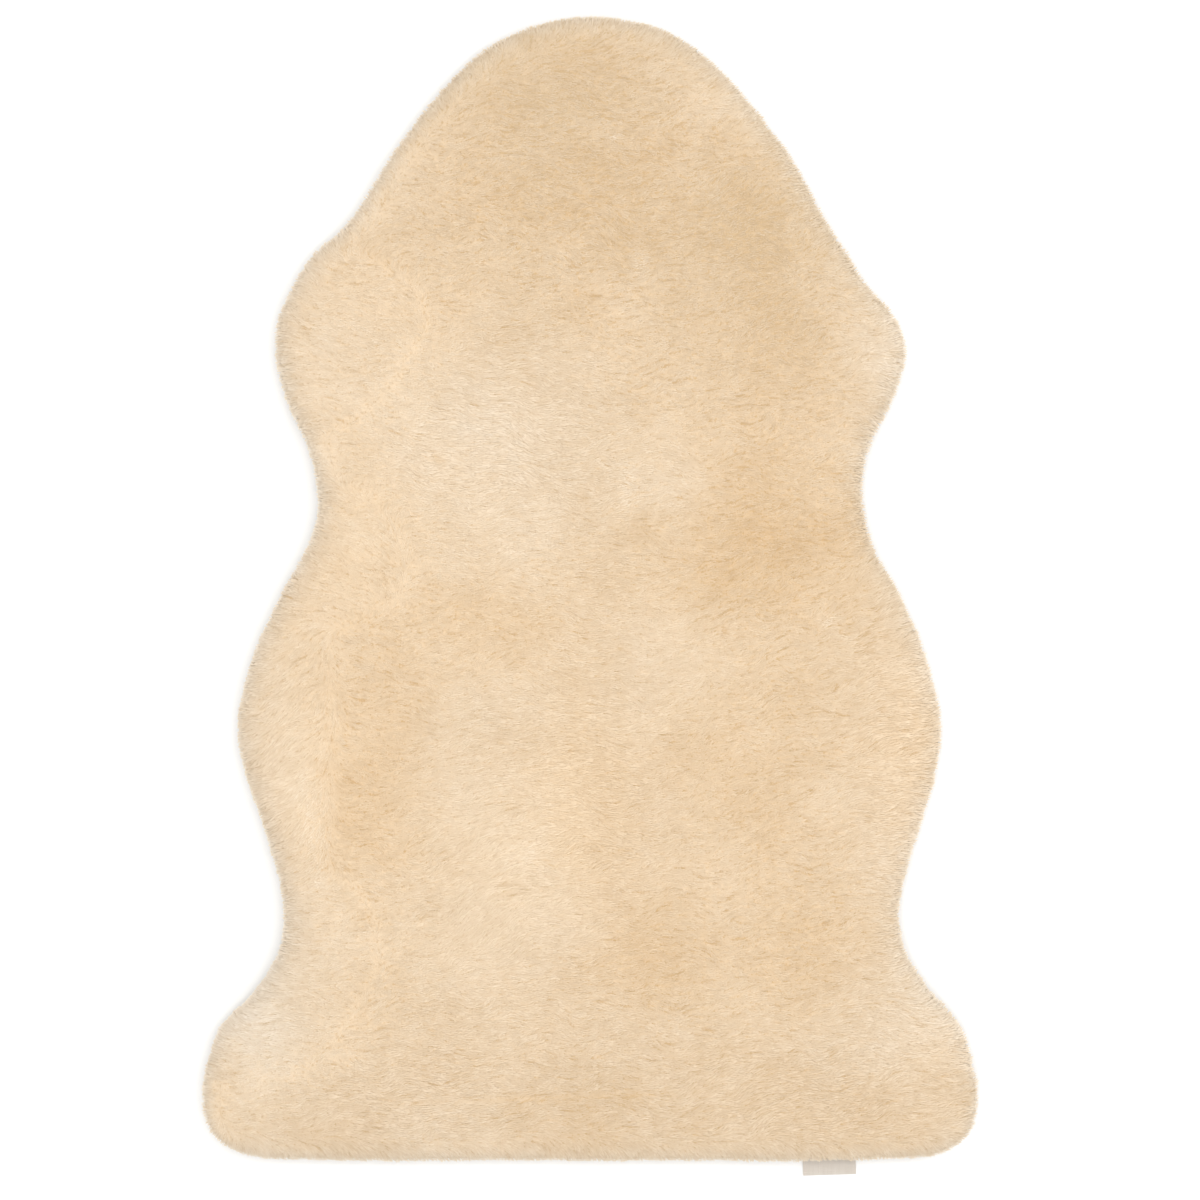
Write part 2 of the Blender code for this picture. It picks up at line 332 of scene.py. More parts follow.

# Small marks in the wool: soft strokes, placed as above, that run along their heading. tone is how much
# lighter the wool is there, warmth how much more golden, and sink how deep it parts, in millimetres. Where a
# mark sinks, its darker tone is painted shade in the parting, beside the real sinking.
markColumns = ("mark", "across", "along", "heading", "halfLength", "halfWidth", "tone", "warmth", "sink")
markTable = (
    ("parting beside the right thigh", 96, 192, 88, 92, 1.8, -0.30, 0.10, 0.20),
    ("parting across the tail", -40, 54, 2, 120, 2.2, -0.40, 0.10, 0.30),
    ("combed edge of the belly wool", -229, 275, 96, 52, 12.0, 0.50, -0.25, 0.00),
    ("turned edge of the flank wool", -203, 275, 93, 46, 9.0, -0.40, 0.25, 0.00),
    ("streaks beside the backbone", 33, 557, 88, 27, 9.0, 0.50, -0.20, 0.00),
    ("pale tuft on the crown", 22, 848, 25, 5, 2.5, 1.20, -0.30, -0.20),
    ("pale patch on the neck", 42, 746, 95, 11, 7.0, 0.60, -0.20, 0.00),
    ("pale curl on the right flank", 200, 449, 30, 9, 3.0, 0.90, -0.30, -0.20),
    ("dark fleck on the breast", -124, 582, 150, 5, 3.0, -0.90, 0.30, 0.30),
    ("warm tuft beside the backbone", 42, 525, 10, 22, 13.0, -0.50, 0.30, 0.00),
)


def placeOnRug(across, along):
    return fleece["backbone"] + across * mm, fleece["tailEdge"] + along * mm


def wave(place, size, layer):
    # a smooth unevenness of about -1 to 1 that changes over this size in millimetres
    return noise.noise(Vector((place[0] / (size * mm), place[1] / (size * mm), layer)))


def uneven(places, waves):
    # some waves added up at each of these points, each wave given as its share, its size and its layer
    return np.array([sum(share * wave(place, size, layer) for share, size, layer in waves)
                     for place in places])


def rimShare(normals):
    # 0 on the level top, 1 where the wool stands upright at the rim
    return np.sqrt(np.clip(1.0 - normals[:, 2], 0.0, 1.0))


def rowsOf(columns, table):
    return [dict(zip(columns, row)) for row in table]


def markAt(places):
    # how much lighter, how much more golden and how far sunk each of these points is by the marks
    tone = np.zeros(len(places))
    warmth = np.zeros(len(places))
    sink = np.zeros(len(places))
    for row in rowsOf(markColumns, markTable):
        x, y = placeOnRug(row["across"], row["along"])
        heading = math.radians(row["heading"])
        east, north = places[:, 0] - x, places[:, 1] - y
        along = (east * math.cos(heading) + north * math.sin(heading)) / (row["halfLength"] * mm)
        beside = (north * math.cos(heading) - east * math.sin(heading)) / (row["halfWidth"] * mm)
        weight = np.exp(-along ** 4 - beside ** 2)
        tone += weight * row["tone"]
        warmth += weight * row["warmth"]
        sink += weight * row["sink"] * mm
    return tone, warmth, sink


def cutPelt(height, below):
    # the pelt's solid cut level at this height, without what is below or above it, and the cut's edges
    body = bmesh.new()
    body.from_mesh(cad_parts["pelt"].data)
    bmesh.ops.remove_doubles(body, verts=body.verts, dist=0.01 * mm)
    everything = body.verts[:] + body.edges[:] + body.faces[:]
    cut = bmesh.ops.bisect_plane(body, geom=everything, dist=0.001 * mm, plane_co=(0.0, 0.0, height),
                                 plane_no=(0.0, 0.0, 1.0), clear_inner=below, clear_outer=not below)
    return body, [item for item in cut["geom_cut"] if isinstance(item, bmesh.types.BMEdge)]


def coreMesh():
    # the close-packed wool under the tips: the solid's own form, drawn in on all sides, on top of the skin
    cage = newPiece("coreCage", asMesh(cutPelt(fleece["cageFoot"], below=True)[0], "core cage"), None)
    smoother = cage.modifiers.new("rounder", "SUBSURF")
    smoother.levels = smoother.render_levels = 1
    fine = evaluatedMesh(cage)
    bpy.data.objects.remove(cage)

    body = bmesh.new()
    body.from_mesh(fine)
    body.normal_update()
    bpy.data.meshes.remove(fine)
    for vertex in body.verts:
        vertex.co -= vertex.normal * fleece["coreDepth"]
        vertex.co.z = fleece["skinTop"] if vertex.is_boundary else max(vertex.co.z, fleece["skinTop"])
    rimEdges = [edge for edge in body.edges if edge.is_boundary]
    bmesh.ops.triangle_fill(body, use_beauty=True, edges=rimEdges, normal=(0.0, 0.0, -1.0))
    bmesh.ops.triangulate(body, faces=body.faces[:])
    bmesh.ops.recalc_face_normals(body, faces=body.faces[:])
    return asMesh(body, "fleeceCore")


def outwardFromRim(places, normals):
    # for each point, the level direction of the nearest stretch of rim and how far away it is
    steep = np.abs(normals[:, 2]) < fleece["rimSteepness"]
    side = np.flatnonzero(steep & (places[:, 2] > fleece["rimFoot"]))
    nearest = kdtree.KDTree(len(side))
    for number, index in enumerate(side):
        nearest.insert((places[index, 0], places[index, 1], 0.0), number)
    nearest.balance()
    outward = np.zeros_like(places)
    distance = np.empty(len(places))
    for index, place in enumerate(places):
        number, distance[index] = nearest.find((place[0], place[1], 0.0))[1:]
        outward[index, :2] = normals[side[number], :2]
    return unit(outward), distance


def layWool(core):
    # writes on the core how the wool lies, how alike it lies, and its tone, from the table above
    places = readVertices(core, "co")
    normals = readVertices(core, "normal")
    total = np.full(len(places), fleece["baseWeight"])
    flow = np.tile(fleece["baseFlow"], (len(places), 1))
    lie = unit(flow) * fleece["backLean"] * fleece["baseWeight"]
    comb = np.full(len(places), fleece["baseComb"]) * fleece["baseWeight"]
    tone = np.zeros(len(places))
    warmth = np.zeros(len(places))
    for row in rowsOf(lieColumns, lieTable):
        x, y = placeOnRug(row["across"], row["along"])
        across = (places[:, 0] - x) / (row["reachAcross"] * mm)
        along = (places[:, 1] - y) / (row["reachAlong"] * mm)
        weight = np.exp(-(across ** 2 + along ** 2))
        heading = math.radians(row["heading"])
        way = np.array((math.cos(heading), math.sin(heading), 0.0)) * row["lean"] * mm
        lie += weight[:, None] * way
        comb += weight * row["comb"]
        total += weight
        tone += weight * row["tone"]
        warmth += weight * row["warmth"]
    lie /= total[:, None]
    lie = unit(lie) * np.maximum(np.linalg.norm(lie, axis=1), fleece["leastLean"])[:, None]
    comb /= total

    # the lie wanders, more where the wool is less combed
    turn = uneven(places, fleece["wander"]) * (fleece["wanderLoose"] - fleece["wanderCombed"] * comb)
    lie = np.stack([lie[:, 0] * np.cos(turn) - lie[:, 1] * np.sin(turn),
                    lie[:, 0] * np.sin(turn) + lie[:, 1] * np.cos(turn), lie[:, 2]], axis=1)

    # near the rim it turns outwards and droops, and everywhere it runs along the surface
    outward, distance = outwardFromRim(places, normals)
    near = (np.clip(1.0 - distance / fleece["rimReach"], 0.0, 1.0) ** fleece["rimEase"])[:, None]
    inward = 1.0 - fleece["rimTurn"] * near
    droop = outward * inward
    droop[:, 2] = -fleece["rimDroop"] * near[:, 0]
    lie = lie * inward + unit(droop) * fleece["rimLean"] * near
    lie -= normals * np.sum(lie * normals, axis=1, keepdims=True)

    writeAttribute(core, "lie", lie)
    writeAttribute(core, "comb", comb)
    writeAttribute(core, "tone", tone + uneven(places, fleece["mottle"]))
    writeAttribute(core, "warmth", warmth + uneven(places, fleece["goldMottle"]))
    grows = core.attributes.new("grows", "BOOLEAN", "FACE")
    grows.data.foreach_set("value", [face.center.z > fleece["growsFrom"] for face in core.polygons])


# the locks, grown on the core by Geometry Nodes

locks = {
    "Pitch": 1.07 * mm,  # between neighbouring locks; a real lock end is a few tenths, too fine to be made
    "Rise": 0.55 * mm,  # of a tip over its root
    "Width": 0.75 * mm,
    "Bow": 0.05,  # how far a lock bulges, as a share of its length
    "Scatter": 1.6 * mm,  # how far a tip strays on its own
    "Clump Size": 5.0 * mm,  # tips lean together in clumps of this size
    "Clump Pull": 0.12,
    "Tuft Size": 7.0 * mm,  # and stray together in tufts of this one
    "Tuft Spread": 1.5 * mm,
    "Pit Size": 2.2 * mm,  # small hollows between the tips; their darker flecks come from their depth and from painted shade
    "Pit Depth": 0.55,
    "Strand Size": 2.0 * mm,  # combed wool gathers into strands of this width
    "Strand Step": 2.0 * mm,  # between the samples that draw a strand out
    "Strand Lift": 0.20,
    "Lowest": 0.7 * mm,  # no tip lies lower
    "Seed": 11,
}
lockEnd = {
    "root": -0.10,  # of a lock of length 1
    "shoulder": 0.62,
    "densest": 1500000.0,  # locks to a square metre, at most
    "stray": (1.0, 0.6, 0.25),  # shares of Scatter across the rug, along it and upwards
    "tuftStray": (1.0, 0.6, 0.15),  # the same of Tuft Spread
    "looseness": 1.3,  # less the comb: how much of Scatter is left
    "ranges": {"height": (0.82, 1.10, 5), "width": (0.75, 1.25, 7), "tone": (-1.0, 1.0, 9)},  # seed last
    "strandSteps": 2,  # how many samples each way a strand is drawn out over
    "strandGain": 0.95,  # brings their sum to about -1 to 1
}
pits = {"from": 0.22, "to": 0.52, "roughness": 1.2}  # of the noise; roughness less the comb deepens them


def lockTemplate():
    # one lock end, a unit long: a root, a shoulder on each side and a tip. +X is its upper face.
    mesh = bpy.data.meshes.new("lock end")
    root, shoulder = lockEnd["root"], lockEnd["shoulder"]
    points = ((0.0, 0.0, root), (1.0, -0.5, shoulder), (1.0, 0.5, shoulder), (0.0, 0.0, 1.0))
    faces = ((0, 2, 1), (1, 2, 3), (0, 1, 3), (0, 3, 2))
    mesh.from_pydata(points, [], faces)
    writeAttribute(mesh, "alongLock", np.array((0.0, shoulder, shoulder, 1.0)))
    writeAttribute(mesh, "sideOfLock", np.array((0.0, -1.0, 1.0, 0.0)))
    mesh.shade_smooth()
    return newObject("lockEnd", mesh)


def addStrands(tree, place, way, size, step):
    # fine noise drawn out along the way the wool lies, about -1 to 1; works in a shader and in Geometry Nodes
    add = partial(addNode, tree)
    scale = add("ShaderNodeMath", {0: 1.0, 1: size}, operation="DIVIDE")
    total = None
    for count in range(-lockEnd["strandSteps"], lockEnd["strandSteps"] + 1):
        reach = add("ShaderNodeMath", {0: step, 1: float(count)}, operation="MULTIPLY")
        shift = add("ShaderNodeVectorMath", {0: way, "Scale": reach}, operation="SCALE")
        spot = add("ShaderNodeVectorMath", {0: place, 1: shift}, operation="ADD")
        grain = add("ShaderNodeTexNoise", {"Vector": spot, "Scale": scale, "Detail": 0.0}, normalize=False)
        total = grain if total is None else add("ShaderNodeMath", {0: total, 1: grain}, operation="ADD")
    return add("ShaderNodeMath", {0: total, 1: lockEnd["strandGain"]}, operation="MULTIPLY")


def growthTree(template, material):
    tree, add, given = newTree("wool growth", {**locks, "Zone Start": zoneEnds[0], "Zone End": zoneEnds[-1]})
    kept = {}
    for name, kind in (("grows", "BOOLEAN"), ("comb", "FLOAT"), ("lie", "FLOAT_VECTOR"),
                       ("surfaceNormal", "FLOAT_VECTOR")):
        kept[name] = add("GeometryNodeInputNamedAttribute", {"Name": name}, data_type=kind)
    scales = {}
    for name in ("Clump Size", "Tuft Size", "Pit Size"):
        scales[name] = add("ShaderNodeMath", {0: 1.0, 1: given[name]}, operation="DIVIDE")

    # one point for each lock of this zone, which keeps the core's normal
    dots = add("GeometryNodeDistributePointsOnFaces", {
        "Mesh": given["Geometry"], "Selection": kept["grows"], "Distance Min": given["Pitch"],
        "Density Max": lockEnd["densest"], "Seed": given["Seed"]}, distribute_method="POISSON")
    upright = add("GeometryNodeStoreNamedAttribute", {
        "Geometry": dots, "Name": "surfaceNormal", "Value": dots.outputs["Normal"]},
        data_type="FLOAT_VECTOR", domain="POINT")
    place = add("GeometryNodeInputPosition")
    along = add("ShaderNodeSeparateXYZ", {0: place}).outputs["Y"]
    before = add("ShaderNodeMath", {0: along, 1: given["Zone Start"]}, operation="LESS_THAN")
    after = add("ShaderNodeMath", {0: along, 1: given["Zone End"]}, operation="GREATER_THAN")
    outside = add("ShaderNodeMath", {0: before, 1: after}, operation="MAXIMUM")
    zone = add("GeometryNodeDeleteGeometry", {"Geometry": upright, "Selection": outside}, domain="POINT")

    # tips of a clump lean together, along the surface
    normal = kept["surfaceNormal"]
    clump = add("ShaderNodeTexVoronoi", {"Vector": place, "Scale": scales["Clump Size"]}, feature="F1")
    apart = add("ShaderNodeVectorMath", {0: clump.outputs["Position"], 1: place}, operation="SUBTRACT")
    toClump = add("ShaderNodeVectorMath", {0: apart, "Scale": given["Clump Pull"]}, operation="SCALE")
    outwards = add("ShaderNodeVectorMath", {0: toClump, 1: normal}, operation="DOT_PRODUCT").outputs["Value"]
    outOfSurface = add("ShaderNodeVectorMath", {0: normal, "Scale": outwards}, operation="SCALE")
    pull = add("ShaderNodeVectorMath", {0: toClump, 1: outOfSurface}, operation="SUBTRACT")

    # each lock strays on its own, less where the wool is combed, and each tuft strays as one
    shares = lockEnd["stray"]
    scatter = add("FunctionNodeRandomValue", {
        0: tuple(-share for share in shares), 1: shares, 8: given["Seed"]}, data_type="FLOAT_VECTOR")
    loose = add("ShaderNodeMath", {0: lockEnd["looseness"], 1: kept["comb"]}, operation="SUBTRACT")
    strayBy = add("ShaderNodeMath", {0: given["Scatter"], 1: loose}, operation="MULTIPLY")
    stray = add("ShaderNodeVectorMath", {0: scatter, "Scale": strayBy}, operation="SCALE")
    tuft = add("ShaderNodeTexNoise", {
        "Vector": place, "Scale": scales["Tuft Size"], "Detail": 1.0}, normalize=False)
    tuftWay = add("ShaderNodeVectorMath", {
        0: tuft.outputs["Color"], 1: lockEnd["tuftStray"]}, operation="MULTIPLY")
    part = add("ShaderNodeVectorMath", {0: tuftWay, "Scale": given["Tuft Spread"]}, operation="SCALE")

    # how high a lock rises: less in the pits, more on a strand
    lieWay = add("ShaderNodeVectorMath", {0: kept["lie"]}, operation="NORMALIZE")
    strand = addStrands(tree, place, lieWay, given["Strand Size"], given["Strand Step"])
    hollow = add("ShaderNodeTexNoise", {
        "Vector": place, "Scale": scales["Pit Size"], "Detail": 0.0}, normalize=False)
    pit = add("ShaderNodeMapRange", {
        "Value": hollow, "From Min": pits["from"], "From Max": pits["to"], "To Min": 0.0, "To Max": 1.0})
    rough = add("ShaderNodeMath", {0: pits["roughness"], 1: kept["comb"]}, operation="SUBTRACT")
    deep = add("ShaderNodeMath", {0: given["Pit Depth"], 1: rough}, operation="MULTIPLY")
    sunk = add("ShaderNodeMath", {0: deep, 1: pit}, operation="MULTIPLY")
    shorter = add("ShaderNodeMath", {0: 1.0, 1: sunk}, operation="SUBTRACT")
    lift = add("ShaderNodeMath", {0: given["Strand Lift"], 1: strand}, operation="MULTIPLY")
    lifted = add("ShaderNodeMath", {0: 1.0, 1: lift}, operation="ADD")
    own = {}
    for name, (least, most, seed) in lockEnd["ranges"].items():
        own[name] = add("FunctionNodeRandomValue", {2: least, 3: most, 8: seed}, data_type="FLOAT").outputs[1]
    height = add("ShaderNodeMath", {0: own["height"], 1: shorter}, operation="MULTIPLY")
    height = add("ShaderNodeMath", {0: height, 1: lifted}, operation="MULTIPLY")
    height = add("ShaderNodeMath", {0: given["Rise"], 1: height}, operation="MULTIPLY")

    # where its tip comes to, never lower than the tips may lie
    rise = add("ShaderNodeVectorMath", {0: normal, "Scale": height}, operation="SCALE")
    leaning = add("ShaderNodeVectorMath", {0: rise, 1: kept["lie"]}, operation="ADD")
    straying = add("ShaderNodeVectorMath", {0: pull, 1: stray}, operation="ADD")
    reach = add("ShaderNodeVectorMath", {0: leaning, 1: straying}, operation="ADD")
    reach = add("ShaderNodeVectorMath", {0: reach, 1: part}, operation="ADD")
    tip = add("ShaderNodeSeparateXYZ", {
        0: add("ShaderNodeVectorMath", {0: place, 1: reach}, operation="ADD")}).outputs
    level = add("ShaderNodeMath", {0: tip["Z"], 1: given["Lowest"]}, operation="MAXIMUM")
    end = add("ShaderNodeCombineXYZ", {0: tip["X"], 1: tip["Y"], 2: level})
    reach = add("ShaderNodeVectorMath", {0: end, 1: place}, operation="SUBTRACT")
    length = add("ShaderNodeVectorMath", {0: reach}, operation="LENGTH").outputs["Value"]

    # the lock's own axes and size
    pointed = add("FunctionNodeAlignRotationToVector", {"Vector": reach}, axis="Z")
    turned = add("FunctionNodeAlignRotationToVector", {
        "Rotation": pointed, "Vector": normal}, axis="X", pivot_axis="Z")
    bow = add("ShaderNodeMath", {0: length, 1: given["Bow"]}, operation="MULTIPLY")
    width = add("ShaderNodeMath", {0: given["Width"], 1: own["width"]}, operation="MULTIPLY")
    scale = add("ShaderNodeCombineXYZ", {0: bow, 1: width, 2: length})

    # what the lock keeps for its tone
    written = zone
    shared = add("ShaderNodeSeparateXYZ", {0: clump.outputs["Color"]}).outputs["X"]
    for name, value in (("lockTone", own["tone"]), ("clumpTone", shared), ("pit", pit), ("strand", strand)):
        written = add("GeometryNodeStoreNamedAttribute", {
            "Geometry": written, "Name": name, "Value": value}, data_type="FLOAT", domain="POINT")
    one = add("GeometryNodeObjectInfo", {"Object": template}, transform_space="ORIGINAL")
    planted = add("GeometryNodeInstanceOnPoints", {
        "Points": written, "Instance": one.outputs["Geometry"], "Rotation": turned, "Scale": scale})
    return finishTree(tree, planted, material)


# zones of about the same area, so that no piece is too heavy
zoneEnds = (-0.60, -0.325, -0.160, 0.015, 0.205, 0.60)
zoneNames = ("woolHind", "woolLoin", "woolBelly", "woolWaist", "woolShoulder")

toneEnds = (0.02, 0.98)  # the darkest and the lightest tone in use
tones = {
    "middle": 0.42,  # 0 is the darkest wool and 1 the lightest
    "place": 0.25,  # how much the table's tones show
    "core": 0.345,  # the middle tone under the tips, painted darker for the shade there
    # painted a little more golden than the tips, for the shade under them
    "coreGold": 0.50,
    "lock": 0.022,  # from lock to lock
    "clump": 0.08,  # and from clump to clump
    "pit": 0.22,  # painted shade: how much darker the small hollows are painted
    "pitLoose": 1.15,  # less the comb: how much of that shows
    "strand": 0.05,  # from strand to strand
    "strandLoose": 0.3,  # plus the comb: how much of that shows
    "creaseShade": 0.21,  # painted shade: how much darker the wool is painted where two strands part
    "creaseFrom": 0.60,  # of the strand noise
    "rimShadeEnds": 0.09,  # painted shade: how much darker the wool is painted where it curves down at the crown and the tail
    "rimShadeSides": -0.02,  # and along the two sides
    "rimTurn": 0.04,  # the painted rim shade is deeper on the right than on the left
    "rimTip": 0.30,  # how much paler the outermost tips are, where the light comes through them
    "rimCool": 0.60,  # how much less golden the rim is painted, as part of its painted shade and, at the tips, of the painted light through them
    "coolRoot": 0.5,  # this share of it at a root
    "coolTip": 1.1,  # and this much more at a tip
    "rootToTip": 0.04,  # how much lighter a tip is than its root: painted shade down at the root
    "lockMiddle": 0.6,  # where along a lock it has its own tone
    "sideways": 0.015,  # from the left of a lock to its right
    "golden": 0.44,  # the middle warmth
    "warmth": 0.30,  # how much the table's warmth shows
    "pitShadeGold": 0.15,
    # the painted shade in a hollow is also more golden
    "rounding": 0.30,  # how round a lock is shaded across
    "tipUp": 0.9,  # how far a tip is shaded as part of the shorn surface and not as a lock of its own
}

# what the locks need while they grow, taken off when they are finished
growthAttributes = ("lie", "comb", "tone", "grows", "lockTone", "clumpTone", "pit", "strand", "alongLock",
                    "sideOfLock", "surfaceNormal", "id")


def settle(mesh):
    # the wool parts along its marks, and the tips that reach over the tab lie on it
    low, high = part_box("tab")
    places = readVertices(mesh, "co")
    places[:, 2] -= markAt(places)[2] * (places[:, 2] > fleece["marksFrom"])
    over = (places[:, 0] > low.x) & (places[:, 0] < high.x) & (places[:, 1] < high.y)
    places[over, 2] = np.maximum(places[over, 2], high.z + fleece["overTab"])
    mesh.vertices.foreach_set("co", places.ravel())
    mesh.update()


def paintedRimShade(normals):
    # painted shade: how much darker the wool is painted where it curves down, by the way that it faces
    ends = tones["rimShadeEnds"] - tones["rimShadeSides"]
    return rimShare(normals) * (tones["rimShadeSides"] + ends * (1.0 - normals[:, 0] ** 2)
                                + tones["rimTurn"] * normals[:, 0])


def lockNormals(mesh):
    # each lock shaded by its upper face, rounded a little to its sides
    root, left, right, tip = readVertices(mesh, "co").reshape(-1, 4, 3).transpose(1, 0, 2)
    sideways = unit(right - left)
    upper = unit(np.cross(sideways, unit(tip - root)))
    rounding = sideways * tones["rounding"]
    return unit(np.stack([upper, upper - rounding, upper + rounding, upper], axis=1).reshape(-1, 3))


def finishLocks(mesh, material):
    # tone and warmth of every lock, from the fleece under it, and soft shading
    settle(mesh)
    along, side, comb, strand, pit = [
        readAttribute(mesh, name) for name in ("alongLock", "sideOfLock", "comb", "strand", "pit")]
    upright = unit(readAttribute(mesh, "surfaceNormal", 3))
    rim = rimShare(upright)
    markTone, markWarmth = markAt(readVertices(mesh, "co"))[:2]
    shade = (tones["middle"] + tones["place"] * (readAttribute(mesh, "tone") + markTone)
             + tones["strand"] * strand * (tones["strandLoose"] + comb)
             # painted shade where two strands part
             - tones["creaseShade"] * np.clip(-strand - tones["creaseFrom"], 0.0, 1.0)
             # painted shade where the wool curves down at the rim
             - paintedRimShade(upright)
             + tones["rimTip"] * rim * np.clip(2.0 * along - 1.0, 0.0, 1.0)
             + tones["lock"] * readAttribute(mesh, "lockTone")
             + tones["clump"] * (2.0 * readAttribute(mesh, "clumpTone") - 1.0)
             # painted shade in the small hollows
             - tones["pit"] * pit * (tones["pitLoose"] - comb)
             # painted shade towards the root
             + tones["rootToTip"] * (along - tones["lockMiddle"]))
    golden = (tones["golden"] + tones["warmth"] * (readAttribute(mesh, "warmth") + markWarmth)
              + tones["sideways"] * side + tones["pitShadeGold"] * pit
              # the rim's painted cool shade, more at the tips
              - tones["rimCool"] * rim * (tones["coolRoot"] + tones["coolTip"] * along))
    shade = np.clip(shade, *toneEnds)
    golden = np.clip(golden, *toneEnds)
    own = lockNormals(mesh)
    for name in growthAttributes:
        if name in mesh.attributes:
            mesh.attributes.remove(mesh.attributes[name])
    writeAttribute(mesh, "shade", shade)
    writeAttribute(mesh, "warmth", golden)
    writeMap(mesh, fitted(np.stack([shade, golden], axis=1), 0.03))
    up = (tones["tipUp"] * along)[:, None]
    soft = unit(upright * up + own * (1.0 - up))
    mesh.normals_split_custom_set_from_vertices(soft.tolist())
    mesh.materials.clear()
    mesh.materials.append(material)


def addWoolColour(tree, shade, warmth):
    # from dark to light by shade, and from cream to gold by warmth
    cool = addNode(tree, "ShaderNodeValToRGB", {0: shade})
    setRamp(cool.color_ramp, ((0.0, "#D1B793"), (0.66, "#F4E6D3"), (1.0, "#FFFBF4")))
    gold = addNode(tree, "ShaderNodeValToRGB", {0: shade})
    setRamp(gold.color_ramp, ((0.0, "#CEA674"), (0.66, "#F5D8B1"), (1.0, "#FFEDD3")))
    return addNode(tree, "ShaderNodeMix", {0: warmth, 6: cool, 7: gold}, data_type="RGBA").outputs[2]


# Lamb's wool, scoured and shorn: crimped matt fibre that scatters light through the pile. Its pale tips and
# more golden root are painted light and shade, and it is slightly bright at a glancing angle.
def woolMaterial():
    material, tree, add, shader = newMaterial(
        "shorn lamb's wool", Roughness=0.9, Sheen_Weight=0.6, Sheen_Roughness=0.5, Specular_IOR_Level=0.2,
        Sheen_Tint="#FFF3DF")
    shade = add("ShaderNodeAttribute", attribute_name="shade").outputs["Fac"]
    warmth = add("ShaderNodeAttribute", attribute_name="warmth").outputs["Fac"]
    setInputs(tree, shader, {"Base Color": addWoolColour(tree, shade, warmth)})
    return material


# The wool packed close under the tips: the same fibre, painted a little darker and more golden for the shade
# under the tips, its strands run together, with small hollows painted darker where the tips part.
def underWoolMaterial():
    material, tree, add, shader = newMaterial(
        "close-packed lamb's wool", Roughness=0.95, Sheen_Weight=0.4, Sheen_Roughness=0.5,
        Specular_IOR_Level=0.15, Sheen_Tint="#FFF3DF")
    place = add("ShaderNodeTexCoord").outputs["Object"]
    lie = add("ShaderNodeAttribute", attribute_name="lie").outputs["Vector"]
    way = add("ShaderNodeVectorMath", {0: lie}, operation="NORMALIZE")
    strand = addStrands(tree, place, way, locks["Strand Size"], locks["Strand Step"])
    hollow = add("ShaderNodeTexNoise", {
        "Vector": place, "Scale": 1.0 / locks["Pit Size"], "Detail": 0.0}, normalize=False)
    # painted shade in the small hollows
    pit = add("ShaderNodeMapRange", {
        "Value": hollow, "From Min": pits["from"], "From Max": pits["to"], "To Min": 0.0,
        "To Max": tones["pit"]})
    shade = add("ShaderNodeAttribute", attribute_name="shade").outputs["Fac"]
    stranded = add("ShaderNodeMath", {0: strand, 1: tones["strand"], 2: shade}, operation="MULTIPLY_ADD")
    # painted shade where two strands part
    creaseShade = add("ShaderNodeMapRange", {
        "Value": strand, "From Min": -tones["creaseFrom"], "From Max": -tones["creaseFrom"] - 1.0,
        "To Min": 0.0, "To Max": tones["creaseShade"]})
    hollows = add("ShaderNodeMath", {0: pit, 1: creaseShade}, operation="ADD")
    darker = add("ShaderNodeMath", {0: stranded, 1: hollows}, operation="SUBTRACT")
    warmth = add("ShaderNodeAttribute", attribute_name="warmth").outputs["Fac"]
    bump = add("ShaderNodeBump", {"Height": strand, "Strength": 0.5, "Distance": 0.5 * mm})
    setInputs(tree, shader, {"Base Color": addWoolColour(tree, darker, warmth), "Normal": bump})
    return material


def unrolled(mesh):
    # a map of the core seen from above, with its sides turned out flat
    places = readVertices(mesh, "co")
    outward, distance = outwardFromRim(places, readVertices(mesh, "normal"))
    near = np.clip(1.0 - distance / fleece["rimReach"], 0.0, 1.0)
    drop = np.clip(fleece["rimReach"] - places[:, 2], 0.0, None)
    return fitted(places[:, :2] + outward[:, :2] * (near * drop)[:, None], 0.02)


def growWool(core, tree, name, start, end, material):
    mesh = useTree(core, tree, {**locks, "Zone Start": start, "Zone End": end})
    mesh.name = name
    finishLocks(mesh, material)
    piece = newObject(name, mesh)
    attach(piece, "root")
    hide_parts("pelt")
    print(name, "has", len(mesh.polygons), "faces")
    return piece


def makeFleece():
    wool = woolMaterial()
    mesh = coreMesh()
    layWool(mesh)
    normals = readVertices(mesh, "normal")
    # the core gets the same painted rim shade
    shade = tones["core"] + tones["place"] * readAttribute(mesh, "tone") - paintedRimShade(normals)
    writeAttribute(mesh, "shade", np.clip(shade, *toneEnds))
    core = newPiece("fleeceCore", mesh, underWoolMaterial())
    template = lockTemplate()
    tree = growthTree(template, wool)
    pieces = []
    for name, start, end in zip(zoneNames, zoneEnds, zoneEnds[1:]):
        pieces.append(growWool(core, tree, name, start, end, wool))
    bpy.data.objects.remove(template)
    writeMap(mesh, unrolled(mesh))
    # the core's rim is painted the same cool shade
    warmth = (tones["coreGold"] + tones["warmth"] * readAttribute(mesh, "warmth")
              - tones["rimCool"] * rimShare(normals))
    writeAttribute(mesh, "warmth", np.clip(warmth, *toneEnds))
    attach(core, "root")
    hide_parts("pelt")
    print("core has", len(mesh.polygons), "faces")
    return core, pieces


# the skin

skin = {
    "top": 1.95 * mm,
    "inset": 8.0 * mm,  # how far the cut edge lies inside the pelt's outline
    "area": 0.438,  # of the solid's flat underside, in square metres
    "edgeFoot": 0.2 * mm,  # the cut edge is drawn above this
    "napSize": 1.4 * mm,  # the buffed nap; a real one is about 0.3 mm, drawn coarser so that it shows
    "mottleSize": 46.0 * mm,
    "poreSize": 4.2 * mm,
    "veinSize": 120.0 * mm,
    "veinWidth": 2.16 * mm,
    "veinWaver": 30.0 * mm,  # how far a vein wanders
}


